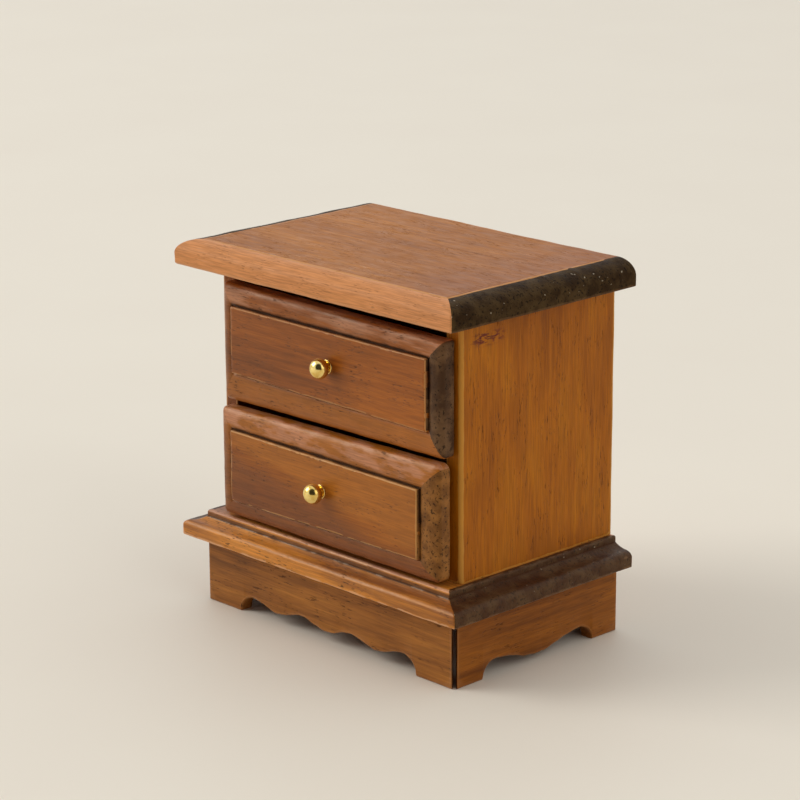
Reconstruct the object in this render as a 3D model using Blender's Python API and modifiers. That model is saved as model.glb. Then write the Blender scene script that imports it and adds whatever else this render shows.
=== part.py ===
"""A 1:12 dolls' house bedside chest: a stained wooden carcass with two loose drawers and brass knobs.

Metres, +Z up. The chest stands on z = 0 with its front towards -Y. The carcass front is the plane
y = FRONT_Y, and the width is centred on x = 0. The y origin is the middle of the whole footprint.
Every board is its own solid, with a glue line of JOINT_GAP left open wherever two boards meet.
"""

import math

import bmesh
import bpy
from mathutils import Matrix, Vector

MM = 0.001

# ---- driving dimensions -------------------------------------------------------------------------
CARCASS_WIDTH = 49.3 * MM
CARCASS_DEPTH = 31.2 * MM
PLINTH_HEIGHT = 10.3 * MM
BASE_THICKNESS = 4.1 * MM
CARCASS_HEIGHT = 37.8 * MM
TOP_THICKNESS = 3.8 * MM
SIDE_THICKNESS = 2.8 * MM
BACK_THICKNESS = 1.6 * MM
JOINT_GAP = 0.3 * MM

TOP_SIZE = (57.2 * MM, 5.9 * MM)  # full width, overhang at the front
TOP_MOULDING = (2.9 * MM, 3.6 * MM)  # width of the moulding along the front, and on the end grain
TOP_MOULDING_DROP = 2.2 * MM
BASE_SIZE = (57.6 * MM, 5.4 * MM)
BASE_MOULDING = (2.2 * MM, 3.2 * MM)
BASE_BEAD_RADIUS = 0.35 * MM
BASE_BEAD_FOOT = 1.0 * MM  # depth below the board's top face, as is the next
BASE_SLOPE_FOOT = 1.7 * MM
BASE_NOSE_RADIUS = 0.9 * MM

PLINTH_SIZE = (52.6 * MM, 2.9 * MM)
APRON_THICKNESS = 2.2 * MM
FOOT_EASE = 0.4 * MM  # the feet's outer corners are rubbed off
MITRE_GAP = 0.45 * MM  # the glued mitres of the plinth stand a little open
MITRE_BLUNT = 0.6 * MM  # how far each sharp mitre tip is rubbed back
# scrolled edges: distances from the middle to the foot and to the outermost arch, then heights
LONG_SCROLL = dict(foot_inner=18.7 * MM, arch_at=15.75 * MM, waves=3,
                   lobe_height=1.6 * MM, arch_height=2.65 * MM)
SHORT_SCROLL = dict(foot_inner=11.4 * MM, arch_at=8.7 * MM, waves=1,
                    lobe_height=1.0 * MM, arch_height=2.5 * MM)

DIVIDER_THICKNESS = 1.4 * MM
RAIL_SIZE = (1.7 * MM, 6.0 * MM)  # height, depth
RAIL_SETBACK = 1.0 * MM

DRAWER_FRONT_SIZE = (45.4 * MM, 16.3 * MM)  # width, height
DRAWER_RIM = 1.7 * MM  # thickness left at the moulded edge
FIELD_RAISE = 1.2 * MM  # how far the flat field stands out from the rim
FIELD_STEP = 0.5 * MM  # the square step from the field down to its moulding
BOX_WIDTH = 41.2 * MM
BOX_HEIGHT = 13.4 * MM
BOX_DEPTH = 27.6 * MM
BOX_WALL = 1.6 * MM
BOX_FLOOR = 1.0 * MM
DRAWER_SIDE_SHIFT = 1.0 * MM  # both drawers lie to the right in their side play

LOWER_FRONT_BOTTOM = 15.0 * MM
DRAWER_PITCH = 17.9 * MM
LOWER_PULL = 0.8 * MM  # the lower drawer stands a little open

# borders round each drawer's flat field: left, right, bottom, top
UPPER_BORDERS = (2.3 * MM, 2.8 * MM, 3.7 * MM, 2.1 * MM)
LOWER_BORDERS = (2.7 * MM, 3.3 * MM, 3.1 * MM, 2.6 * MM)
UPPER_KNOB_X = 1.3 * MM
LOWER_KNOB_X = 0.5 * MM

KNOB_BALL_RADIUS = 1.5 * MM
KNOB_BALL_HALF_LENGTH = 1.15 * MM  # the ball is a little flattened along the knob's axis
KNOB_BALL_CENTRE = 1.7 * MM  # ahead of the field
KNOB_NECK_RADIUS = 0.55 * MM
KNOB_COLLAR_RADIUS = 1.05 * MM
KNOB_COLLAR_THICKNESS = 0.25 * MM
KNOB_COLLAR_CHAMFER = 0.1 * MM
KNOB_PIN_RADIUS = 0.4 * MM
KNOB_PIN_LENGTH = 2.4 * MM

OVERCUT = 1.0 * MM  # how far a cutter runs past the wood
ARC_STEPS = 8
ROUND_STEPS = 24

# ---- places worked out from them ----------------------------------------------------------------
BASE_BOTTOM = PLINTH_HEIGHT
BASE_TOP = BASE_BOTTOM + BASE_THICKNESS
CARCASS_TOP = BASE_TOP + CARCASS_HEIGHT
TOP_TOP = CARCASS_TOP + TOP_THICKNESS
FIELD_DEPTH = DRAWER_RIM + FIELD_RAISE
KNOB_REACH = KNOB_BALL_CENTRE + KNOB_BALL_HALF_LENGTH
FOREMOST = LOWER_PULL + JOINT_GAP + FIELD_DEPTH + KNOB_REACH
FRONT_Y = (FOREMOST - CARCASS_DEPTH) / 2
BACK_Y = FRONT_Y + CARCASS_DEPTH
INNER_HALF = CARCASS_WIDTH / 2 - SIDE_THICKNESS
APRON_TOP = PLINTH_HEIGHT - JOINT_GAP
UPPER_FRONT_BOTTOM = LOWER_FRONT_BOTTOM + DRAWER_PITCH
DIVIDER_BOTTOM = LOWER_FRONT_BOTTOM + DRAWER_FRONT_SIZE[1]

# ---- colours (linear RGB), roughness, metallic --------------------------------------------------
FINISHES = {
    "walnut_top": ((0.37, 0.17, 0.07), 0.38, 0.0),
    "walnut_side": ((0.30, 0.10, 0.02), 0.42, 0.0),
    "walnut_front": ((0.25, 0.08, 0.025), 0.36, 0.0),
    "walnut_plinth": ((0.19, 0.065, 0.018), 0.45, 0.0),
    "raw_box_wood": ((0.33, 0.17, 0.07), 0.7, 0.0),
    "polished_brass": ((0.80, 0.58, 0.24), 0.18, 1.0),
}


def clear_scene():
    for old in list(bpy.data.objects):
        bpy.data.objects.remove(old, do_unlink=True)


def collection(name):
    made = bpy.data.collections.new(name)
    bpy.context.scene.collection.children.link(made)
    return made


def finish(name):
    """The named Principled material, made once."""
    material = bpy.data.materials.get(name)
    if material is None:
        colour, roughness, metallic = FINISHES[name]
        material = bpy.data.materials.new(name)
        material.use_nodes = True
        shader = material.node_tree.nodes["Principled BSDF"]
        shader.inputs["Base Color"].default_value = (*colour, 1.0)
        shader.inputs["Roughness"].default_value = roughness
        shader.inputs["Metallic"].default_value = metallic
    return material


def place(obj, group, finish_name=None, parent=None):
    """Links an object to its collection, dresses it and hangs it on its parent where it stands."""
    for old in list(obj.users_collection):
        old.objects.unlink(obj)
    group.objects.link(obj)
    if finish_name:
        obj.data.materials.clear()
        obj.data.materials.append(finish(finish_name))
    if parent:
        obj.parent = parent
        obj.matrix_parent_inverse = parent.matrix_world.inverted()
    return obj


def mesh_object(name, mesh):
    obj = bpy.data.objects.new(name, mesh)
    bpy.context.scene.collection.objects.link(obj)
    return obj


def box(name, low, high):
    """A board: a cube primitive sized to its corners, with its origin at its middle."""
    low, high = Vector(low), Vector(high)
    mesh = bpy.data.meshes.new(name)
    shape = bmesh.new()
    bmesh.ops.create_cube(shape, size=1.0)
    bmesh.ops.scale(shape, vec=high - low, verts=shape.verts)
    shape.to_mesh(mesh)
    shape.free()
    obj = mesh_object(name, mesh)
    obj.location = (low + high) / 2
    return obj


def plate(name, outline, thickness):
    """A flat outline in the XY plane, given `thickness` about z = 0 and turned into a closed mesh."""
    curve = bpy.data.curves.new(name, "CURVE")
    curve.dimensions = "2D"
    curve.fill_mode = "BOTH"
    curve.extrude = thickness / 2
    spline = curve.splines.new("POLY")
    spline.points.add(len(outline) - 1)
    for point, (x, y) in zip(spline.points, outline):
        point.co = (x, y, 0.0, 1.0)
    spline.use_cyclic_u = True
    drawn = mesh_object(name, curve)
    bpy.context.view_layer.update()
    graph = bpy.context.evaluated_depsgraph_get()
    mesh = bpy.data.meshes.new_from_object(drawn.evaluated_get(graph))
    bpy.data.objects.remove(drawn)
    shape = bmesh.new()
    shape.from_mesh(mesh)
    bmesh.ops.remove_doubles(shape, verts=shape.verts, dist=0.000001)
    bmesh.ops.recalc_face_normals(shape, faces=shape.faces)
    shape.to_mesh(mesh)
    shape.free()
    return mesh_object(name, mesh)


def arc(centre, radii, start, end, steps=ARC_STEPS):
    """Points along an elliptical arc, angles in degrees, ends included."""
    points = []
    for i in range(steps + 1):
        angle = math.radians(start + (end - start) * i / steps)
        points.append((centre[0] + radii[0] * math.cos(angle), centre[1] + radii[1] * math.sin(angle)))
    return points


def cut(obj, cutter, cutters):
    """Takes the cutter's shape out of the object with an exact Boolean."""
    place(cutter, cutters)
    cutter.hide_render = True
    cutter.display_type = "WIRE"
    modifier = obj.modifiers.new("cut_" + cutter.name, "BOOLEAN")
    modifier.operation = "DIFFERENCE"
    modifier.solver = "EXACT"
    modifier.object = cutter


def mould_edge(board, profile, length, arris, inward, into, cutters):
    """Runs a moulding cutter along one straight arris of a board.

    The profile is the waste, as points (inset from the edge, depth from the face), so its X goes
    `inward` from the edge and its Y goes `into` the board from the face. `arris` is the middle of
    the sharp corner that is cut away.
    """
    inward, into = Vector(inward), Vector(into)
    tool = plate(board.name + "_moulding", profile, length)
    tool.rotation_euler = Matrix((inward, into, inward.cross(into))).transposed().to_euler()
    tool.location = arris
    cut(board, tool, cutters)


# ---- carcass -------------------------------------------------------------------------------------
DOWN = (0, 0, -1)
BACKWARD = (0, 1, 0)


def thumb_profile(width):
    """Waste outside a thumb moulding: a flattened quarter round from the top face to the edge."""
    drop = TOP_MOULDING_DROP
    curve = arc((width, drop), (width, drop), 270, 180)
    return [(width, -OVERCUT)] + curve + [(-OVERCUT, drop), (-OVERCUT, -OVERCUT)]


def base_profile(width):
    """Waste outside the base moulding: a small bead, a shallow slope and a rounded nose."""
    bead, nose = BASE_BEAD_RADIUS, BASE_NOSE_RADIUS
    nose_centre = (nose, BASE_SLOPE_FOOT + nose)
    points = [(width + bead, -OVERCUT)]
    points += arc((width + bead, bead), (bead, bead), 270, 180, 4)
    points += [(width, BASE_BEAD_FOOT)]
    points += arc(nose_centre, (nose, nose), 270, 180, 6)
    points += [(-OVERCUT, nose_centre[1]), (-OVERCUT, -OVERCUT)]
    return points


def moulded_board(name, size, bottom, top, profile, mouldings, parts, cutters):
    """A board that overhangs the carcass, moulded along its front and both ends, plain behind."""
    width, overhang = size
    front_width, end_width = mouldings
    half = width / 2
    front_y = FRONT_Y - overhang
    middle_y = (front_y + BACK_Y) / 2
    board = box(name, (-half, front_y, bottom), (half, BACK_Y, top))
    front_run = width + 2 * OVERCUT
    end_run = BACK_Y - front_y + 2 * OVERCUT
    mould_edge(board, profile(front_width), front_run, (0, front_y, top), BACKWARD, DOWN, cutters)
    for side in (-1, 1):
        arris = (side * half, middle_y, top)
        mould_edge(board, profile(end_width), end_run, arris, (-side, 0, 0), DOWN, cutters)
    place(board, parts, "walnut_top")


def make_carcass(parts):
    bottom, top = BASE_TOP + JOINT_GAP, CARCASS_TOP - JOINT_GAP
    half = CARCASS_WIDTH / 2
    inner = INNER_HALF - JOINT_GAP
    for name, side in (("left_side_panel", -1), ("right_side_panel", 1)):
        xs = sorted((side * half, side * INNER_HALF))
        place(box(name, (xs[0], FRONT_Y, bottom), (xs[1], BACK_Y, top)), parts, "walnut_side")
    place(box("back_panel", (-inner, BACK_Y - BACK_THICKNESS, bottom), (inner, BACK_Y, top)),
          parts, "walnut_side")
    board_back = BACK_Y - BACK_THICKNESS - JOINT_GAP
    board_front = FRONT_Y + RAIL_SETBACK
    place(box("drawer_divider", (-inner, board_front, DIVIDER_BOTTOM),
              (inner, board_back, DIVIDER_BOTTOM + DIVIDER_THICKNESS)), parts, "walnut_side")
    rail_height, rail_depth = RAIL_SIZE
    place(box("top_rail", (-inner, board_front, top - rail_height),
              (inner, board_front + rail_depth, top)), parts, "walnut_side")


# ---- plinth --------------------------------------------------------------------------------------
def scrolled_outline(half_width, foot_inner, arch_at, waves, lobe_height, arch_height):
    """An apron's outline, seen from outside: feet, then a scrolled edge of arches and lobes.

    The edge between the outer arches is a cosine with a lobe in the middle; a quarter ellipse
    drops from each outer arch to its foot.
    """
    middle = (lobe_height + arch_height) / 2
    swing = (arch_height - lobe_height) / 2
    steps = 12 * waves
    edge = []
    for i in range(steps + 1):
        x = -arch_at + 2 * arch_at * i / steps
        phase = math.pi * waves * (x / arch_at + 1)
        edge.append((x, middle + swing * math.cos(phase)))
    drop = arc((0, 0), (foot_inner - arch_at, arch_height), 90, 0, 6)
    right = [(arch_at + x, z) for x, z in drop[1:]]
    left = [(-x, z) for x, z in reversed(right)]
    toe = FOOT_EASE
    return (
        [(-half_width, APRON_TOP), (-half_width, toe), (-half_width + toe, 0)]
        + left + edge + right
        + [(half_width - toe, 0), (half_width, toe), (half_width, APRON_TOP)]
    )


def mitre(apron, corner, end, outward, cutters):
    """Cuts one end of an apron at 45 degrees, half a mitre gap short of the plinth's diagonal."""
    reach = 12 * MM
    away = (Vector(end) - Vector(outward)).normalized()
    tool = box(apron.name + "_mitre", (-reach,) * 3, (reach,) * 3)
    tool.rotation_euler = (0, 0, math.radians(45))
    tool.location = Vector(corner) + away * (reach - MITRE_GAP / 2)
    cut(apron, tool, cutters)


def make_plinth(parts, cutters):
    width, overhang = PLINTH_SIZE
    half = width / 2
    front_y = FRONT_Y - overhang
    half_depth = (BACK_Y - front_y) / 2
    middle_y = (front_y + BACK_Y) / 2
    sides = (
        ("front_apron", half, half_depth, LONG_SCROLL, 0),
        ("right_apron", half_depth, half, SHORT_SCROLL, 90),
        ("back_apron", half, half_depth, LONG_SCROLL, 180),
        ("left_apron", half_depth, half, SHORT_SCROLL, 270),
    )
    for name, half_run, face_out, scroll, turn in sides:
        turned = Matrix.Rotation(math.radians(turn), 3, "Z")
        outward, end = turned @ Vector((0, -1, 0)), turned @ Vector((1, 0, 0))
        middle = Vector((0, middle_y, 0))
        apron = plate(name, scrolled_outline(half_run - MITRE_BLUNT, **scroll), APRON_THICKNESS)
        apron.rotation_euler = (math.radians(90), 0, math.radians(turn))
        apron.location = middle + outward * (face_out - APRON_THICKNESS / 2)
        for direction in (end, -end):
            corner = middle + outward * face_out + direction * half_run
            mitre(apron, corner, direction, outward, cutters)
        place(apron, parts, "walnut_plinth")


# ---- drawers -------------------------------------------------------------------------------------
def border_profile(width):
    """Waste round a drawer's raised field: a square step, then a flattened quarter round."""
    round_drop = FIELD_RAISE - FIELD_STEP
    curve = arc((width, FIELD_RAISE), (width, round_drop), 270, 180)
    return [(width, -OVERCUT)] + curve + [(-OVERCUT, FIELD_RAISE), (-OVERCUT, -OVERCUT)]


def turned_knob(name):
    """A brass knob turned in one piece with its pin, pointing along +Z from the field at z = 0."""
    neck_angle = math.degrees(math.asin(KNOB_NECK_RADIUS / KNOB_BALL_RADIUS))
    radii = (KNOB_BALL_RADIUS, KNOB_BALL_HALF_LENGTH)
    ball = arc((0, KNOB_BALL_CENTRE), radii, 90, neck_angle - 90, 12)
    ball[0] = (0.0, KNOB_REACH)
    collar_back = JOINT_GAP
    collar_front = collar_back + KNOB_COLLAR_THICKNESS
    profile = ball + [
        (KNOB_NECK_RADIUS, collar_front),
        (KNOB_COLLAR_RADIUS - KNOB_COLLAR_CHAMFER, collar_front),
        (KNOB_COLLAR_RADIUS, collar_front - KNOB_COLLAR_CHAMFER),
        (KNOB_COLLAR_RADIUS, collar_back),
        (KNOB_PIN_RADIUS, collar_back),
        (KNOB_PIN_RADIUS, -KNOB_PIN_LENGTH),
        (0.0, -KNOB_PIN_LENGTH),
    ]
    mesh = bpy.data.meshes.new(name)
    edges = [(i, i + 1) for i in range(len(profile) - 1)]
    mesh.from_pydata([(r, 0.0, z) for r, z in profile], edges, [])
    knob = mesh_object(name, mesh)
    turn = knob.modifiers.new("turned", "SCREW")
    turn.steps = turn.render_steps = ROUND_STEPS
    turn.use_merge_vertices = True
    turn.merge_threshold = 0.00001
    turn.use_smooth_shade = True
    return knob


def make_drawer(name, front_bottom, box_bottom, pull, borders, knob_x, parts, cutters):
    """One drawer: a moulded front, a nailed-up box behind it and a brass knob, on its own slide."""
    left_border, right_border, bottom_border, top_border = borders
    width, height = DRAWER_FRONT_SIZE
    centre_x = DRAWER_SIDE_SHIFT
    back_y = FRONT_Y - JOINT_GAP - pull
    field_y = back_y - FIELD_DEPTH
    left, right = centre_x - width / 2, centre_x + width / 2
    top = front_bottom + height

    slide = bpy.data.objects.new(name + "_slide", None)
    slide.location = (centre_x, back_y, box_bottom)
    parts.objects.link(slide)
    bpy.context.view_layer.update()

    front = box(name + "_front", (left, field_y, front_bottom), (right, back_y, top))
    long_run, short_run = width + 2 * OVERCUT, height + 2 * OVERCUT
    middle_z = front_bottom + height / 2
    rims = (
        (bottom_border, long_run, (centre_x, field_y, front_bottom), (0, 0, 1)),
        (top_border, long_run, (centre_x, field_y, top), (0, 0, -1)),
        (left_border, short_run, (left, field_y, middle_z), (1, 0, 0)),
        (right_border, short_run, (right, field_y, middle_z), (-1, 0, 0)),
    )
    for border, run, arris, inward in rims:
        mould_edge(front, border_profile(border), run, arris, inward, BACKWARD, cutters)
    field_z = (front_bottom + bottom_border + top - top_border) / 2
    drill = bpy.data.meshes.new(name + "_drill")
    shape = bmesh.new()
    hole = KNOB_PIN_RADIUS + JOINT_GAP
    bmesh.ops.create_cone(shape, cap_ends=True, segments=ROUND_STEPS, radius1=hole, radius2=hole,
                          depth=2 * (FIELD_DEPTH + OVERCUT))
    shape.to_mesh(drill)
    shape.free()
    bit = mesh_object(name + "_drill", drill)
    bit.rotation_euler = (math.radians(90), 0, 0)
    bit.location = (knob_x, field_y, field_z)
    cut(front, bit, cutters)
    place(front, parts, "walnut_front", slide)

    knob = turned_knob(name + "_knob")
    knob.rotation_euler = (math.radians(90), 0, 0)
    knob.location = (knob_x, field_y, field_z)
    place(knob, parts, "polished_brass", slide)

    start = back_y + JOINT_GAP
    end = start + BOX_DEPTH
    box_left, box_right = centre_x - BOX_WIDTH / 2, centre_x + BOX_WIDTH / 2
    box_top = box_bottom + BOX_HEIGHT
    for side, low_x in (("left", box_left), ("right", box_right - BOX_WALL)):
        wall = box(f"{name}_{side}_side", (low_x, start, box_bottom), (low_x + BOX_WALL, end, box_top))
        place(wall, parts, "raw_box_wood", slide)
    low_x, high_x = box_left + BOX_WALL + JOINT_GAP, box_right - BOX_WALL - JOINT_GAP
    floor_top = box_bottom + BOX_FLOOR
    floor = box(name + "_bottom", (low_x, start, box_bottom), (high_x, end, floor_top))
    place(floor, parts, "raw_box_wood", slide)
    back = box(name + "_back", (low_x, end - BOX_WALL, floor_top + JOINT_GAP), (high_x, end, box_top))
    place(back, parts, "raw_box_wood", slide)


def build():
    clear_scene()
    parts = collection("bedside_chest")
    cutters = collection("cutters")
    moulded_board("top_board", TOP_SIZE, CARCASS_TOP, TOP_TOP, thumb_profile, TOP_MOULDING,
                  parts, cutters)
    make_carcass(parts)
    moulded_board("base_board", BASE_SIZE, BASE_BOTTOM, BASE_TOP, base_profile, BASE_MOULDING,
                  parts, cutters)
    make_plinth(parts, cutters)
    make_drawer("upper_drawer", UPPER_FRONT_BOTTOM, DIVIDER_BOTTOM + DIVIDER_THICKNESS + JOINT_GAP,
                0.0, UPPER_BORDERS, UPPER_KNOB_X, parts, cutters)
    make_drawer("lower_drawer", LOWER_FRONT_BOTTOM, BASE_TOP + JOINT_GAP,
                LOWER_PULL, LOWER_BORDERS, LOWER_KNOB_X, parts, cutters)


build()
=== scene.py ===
"""The looks of the dolls' house bedside chest: its stained boards, its mouldings and its brass.

Metres, +Z up, front towards -Y. The sections follow the chest as it is put together, from the
plinth up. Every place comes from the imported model's own boxes.
"""

from functools import partial
import heapq
import math

import bmesh
import bpy
from mathutils import Matrix, Vector, noise


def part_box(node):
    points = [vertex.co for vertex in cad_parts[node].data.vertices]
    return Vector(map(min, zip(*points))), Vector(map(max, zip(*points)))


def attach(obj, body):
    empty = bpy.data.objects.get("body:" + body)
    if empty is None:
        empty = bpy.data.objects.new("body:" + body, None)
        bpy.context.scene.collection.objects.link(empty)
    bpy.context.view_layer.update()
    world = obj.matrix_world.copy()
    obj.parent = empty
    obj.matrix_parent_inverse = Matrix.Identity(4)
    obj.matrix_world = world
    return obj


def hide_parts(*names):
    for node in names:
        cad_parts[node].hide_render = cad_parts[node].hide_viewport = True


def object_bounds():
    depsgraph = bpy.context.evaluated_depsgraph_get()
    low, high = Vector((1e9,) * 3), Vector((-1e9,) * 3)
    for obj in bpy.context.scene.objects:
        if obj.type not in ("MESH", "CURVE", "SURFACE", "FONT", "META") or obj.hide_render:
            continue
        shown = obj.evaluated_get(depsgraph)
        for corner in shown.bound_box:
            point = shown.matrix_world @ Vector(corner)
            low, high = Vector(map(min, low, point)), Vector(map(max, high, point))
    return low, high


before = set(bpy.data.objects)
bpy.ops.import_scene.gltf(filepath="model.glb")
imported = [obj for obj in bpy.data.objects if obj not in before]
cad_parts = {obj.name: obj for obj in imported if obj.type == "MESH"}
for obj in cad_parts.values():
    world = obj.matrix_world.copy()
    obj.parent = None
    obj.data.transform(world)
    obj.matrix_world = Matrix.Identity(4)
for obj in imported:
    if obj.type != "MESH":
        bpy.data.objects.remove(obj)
cad_low, cad_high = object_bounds()

# ---- plinth --------------------------------------------------------------------------------------
# Four thin aprons of stained hardwood with a scroll-sawn lower edge, mitred at the corners and glued.
# The saw line is a row of arches that a quarter oval closes down to each foot.
MM = 0.001
PLINTH_THICKNESS = 2.2 * MM
PLINTH_ARRIS = 0.28 * MM
MITRE_TIP = 0.6 * MM  # how far each sharp tip is rubbed back from the corner
MITRE_FLAT = 0.28 * MM  # the blunt end left at each tip
SAW_STEPS = 420  # points along each apron
SAW_UNEVENNESS = 0.45 * MM
LONG_SCROLL = {"Foot Inner": 18.7 * MM, "Arch At": 15.75 * MM, "Waves": 3.0,
               "Lobe Height": 1.6 * MM, "Arch Height": 2.65 * MM}
SHORT_SCROLL = {"Foot Inner": 11.4 * MM, "Arch At": 8.7 * MM, "Waves": 1.0,
                "Lobe Height": 1.0 * MM, "Arch Height": 2.5 * MM}


def add_node(tree, kind, **settings):
    """A node with its settings. A setting whose name is a socket's sets that socket's value."""
    made = tree.nodes.new(kind)
    for key, value in settings.items():
        if hasattr(made, key):
            setattr(made, key, value)
        else:
            made.inputs[key.replace("_", " ")].default_value = value
    return made


def feed(tree, socket, value):
    """Links a socket, or sets its value where `value` is plain."""
    if isinstance(value, bpy.types.NodeSocket):
        tree.links.new(value, socket)
    else:
        socket.default_value = value


def maths(tree, operation, *values):
    """A Math node in one line."""
    made = add_node(tree, "ShaderNodeMath", operation=operation)
    for socket, value in zip(made.inputs, values):
        feed(tree, socket, value)
    return made.outputs[0]


def split_place(tree, place):
    """The x, y and z of a place, each as a socket."""
    made = tree.nodes.new("ShaderNodeSeparateXYZ")
    feed(tree, made.inputs[0], place)
    return made.outputs


def geometry_tree(name, inputs):
    """An empty Geometry Nodes tree with named number inputs, and its two ends."""
    tree = bpy.data.node_groups.new(name, "GeometryNodeTree")
    tree.interface.new_socket("Geometry", in_out="INPUT", socket_type="NodeSocketGeometry")
    for label in inputs:
        kind = "NodeSocketMaterial" if label == "Finish" else "NodeSocketFloat"
        tree.interface.new_socket(label, in_out="INPUT", socket_type=kind)
    tree.interface.new_socket("Geometry", in_out="OUTPUT", socket_type="NodeSocketGeometry")
    return tree, tree.nodes.new("NodeGroupInput").outputs, tree.nodes.new("NodeGroupOutput").inputs[0]


def finish_tree(tree, shape, finish, end):
    """Every tree closes with Realize Instances and Set Material."""
    real = tree.nodes.new("GeometryNodeRealizeInstances")
    coat = tree.nodes.new("GeometryNodeSetMaterial")
    feed(tree, real.inputs[0], shape)
    feed(tree, coat.inputs["Geometry"], real.outputs[0])
    feed(tree, coat.inputs["Material"], finish)
    feed(tree, end, coat.outputs[0])


def scrolled_apron_tree():
    """A rounded strip along X, its lower edge lifted by the scroll rule and its ends mitred."""
    tree, given, end = geometry_tree("scrolled_apron", (
        "Half Run", "Height", "Thickness", "Arris", "Foot Inner", "Arch At", "Waves",
        "Lobe Height", "Arch Height", "Tip Flat", "Unevenness", "Finish"))
    calc = partial(maths, tree)

    section = add_node(tree, "GeometryNodeCurvePrimitiveQuadrilateral")
    feed(tree, section.inputs["Width"], given["Thickness"])
    feed(tree, section.inputs["Height"], given["Height"])
    fillet = add_node(tree, "GeometryNodeFilletCurve", mode="POLY", Count=3)
    feed(tree, fillet.inputs["Curve"], section.outputs[0])
    feed(tree, fillet.inputs["Radius"], given["Arris"])
    run_start = tree.nodes.new("ShaderNodeCombineXYZ")
    run_end = tree.nodes.new("ShaderNodeCombineXYZ")
    feed(tree, run_start.inputs[0], calc("MULTIPLY", given["Half Run"], -1.0))
    feed(tree, run_end.inputs[0], given["Half Run"])
    run = add_node(tree, "GeometryNodeCurvePrimitiveLine")
    feed(tree, run.inputs["Start"], run_start.outputs[0])
    feed(tree, run.inputs["End"], run_end.outputs[0])
    section_points = add_node(tree, "GeometryNodeSubdivideCurve", Cuts=1)
    feed(tree, section_points.inputs["Curve"], fillet.outputs[0])
    stations = add_node(tree, "GeometryNodeResampleCurve", Count=SAW_STEPS)
    feed(tree, stations.inputs["Curve"], run.outputs[0])
    strip = add_node(tree, "GeometryNodeCurveToMesh")
    strip.inputs["Fill Caps"].default_value = True
    feed(tree, strip.inputs["Curve"], stations.outputs[0])
    feed(tree, strip.inputs["Profile Curve"], section_points.outputs[0])

    place = tree.nodes.new("GeometryNodeInputPosition")
    across, behind, above = split_place(tree, place.outputs[0])
    reach = calc("ABSOLUTE", across)
    depth = calc("ADD", behind, calc("MULTIPLY", given["Thickness"], 0.5))
    height = calc("ADD", above, calc("MULTIPLY", given["Height"], 0.5))

    # The lift of the lower edge: waves out to the last arch, then a quarter oval down to the foot.
    middle = calc("MULTIPLY", calc("ADD", given["Lobe Height"], given["Arch Height"]), 0.5)
    swing = calc("MULTIPLY", calc("SUBTRACT", given["Arch Height"], given["Lobe Height"]), 0.5)
    turns = calc("MULTIPLY", given["Waves"], math.pi)
    phase = calc("MULTIPLY", turns, calc("ADD", calc("DIVIDE", across, given["Arch At"]), 1.0))
    wave = calc("MULTIPLY_ADD", swing, calc("COSINE", phase), middle)
    past = calc("DIVIDE", calc("SUBTRACT", reach, given["Arch At"]),
                calc("SUBTRACT", given["Foot Inner"], given["Arch At"]))
    oval = calc("SQRT", calc("MAXIMUM", calc("SUBTRACT", 1.0, calc("MULTIPLY", past, past)), 0.0))
    foot = calc("MULTIPLY", oval, given["Arch Height"])
    inside = calc("LESS_THAN", reach, given["Arch At"])
    lift = calc("ADD", calc("MULTIPLY", inside, wave),
                calc("MULTIPLY", calc("SUBTRACT", 1.0, inside), foot))
    rough = add_node(tree, "ShaderNodeTexNoise", Scale=420.0, Detail=2.0)
    feed(tree, rough.inputs["Vector"], place.outputs[0])
    wobble = calc("MULTIPLY", calc("SUBTRACT", rough.outputs[0], 0.5), given["Unevenness"])
    sawn = calc("GREATER_THAN", lift, 0.0)
    lift = calc("MULTIPLY_ADD", wobble, sawn, lift)
    lift = calc("MULTIPLY", lift, calc("SUBTRACT", 1.0, calc("DIVIDE", height, given["Height"])))

    # The mitres: the further back, the further each end draws in.
    nearness = add_node(tree, "ShaderNodeMapRange", interpolation_type="SMOOTHSTEP")
    feed(tree, nearness.inputs["Value"], reach)
    feed(tree, nearness.inputs["From Min"], calc("MULTIPLY", given["Foot Inner"], 1.05))
    feed(tree, nearness.inputs["From Max"], given["Half Run"])
    back = calc("MAXIMUM", calc("SUBTRACT", depth, given["Tip Flat"]), 0.0)
    slide = calc("MULTIPLY", calc("MULTIPLY", back, nearness.outputs[0]),
                 calc("MULTIPLY", calc("SIGN", across), -1.0))
    shift = tree.nodes.new("ShaderNodeCombineXYZ")
    feed(tree, shift.inputs[0], slide)
    feed(tree, shift.inputs[1], calc("MULTIPLY", given["Thickness"], 0.5))
    feed(tree, shift.inputs[2], calc("MULTIPLY_ADD", given["Height"], 0.5, lift))
    shaped = tree.nodes.new("GeometryNodeSetPosition")
    feed(tree, shaped.inputs["Geometry"], strip.outputs[0])
    feed(tree, shaped.inputs["Offset"], shift.outputs[0])
    finish_tree(tree, shaped.outputs[0], given["Finish"], end)
    return tree


def grow(name, tree, values):
    """Runs a Geometry Nodes tree once and returns its result as a plain mesh."""
    holder = bpy.data.objects.new(name, bpy.data.meshes.new(name))
    bpy.context.scene.collection.objects.link(holder)
    modifier = holder.modifiers.new(name, "NODES")
    modifier.node_group = tree
    for item in tree.interface.items_tree:
        if item.item_type == "SOCKET" and item.in_out == "INPUT" and item.name in values:
            modifier[item.identifier] = values[item.name]
    bpy.context.view_layer.update()
    graph = bpy.context.evaluated_depsgraph_get()
    mesh = bpy.data.meshes.new_from_object(holder.evaluated_get(graph))
    mesh.name = name
    bpy.data.objects.remove(holder)
    return mesh


FAR = -4.0  # the mark of a point that no ridge or hollow comes near
SHARP_TURN = 50.0  # degrees: a sharper edge than this isn't shaded round


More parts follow.
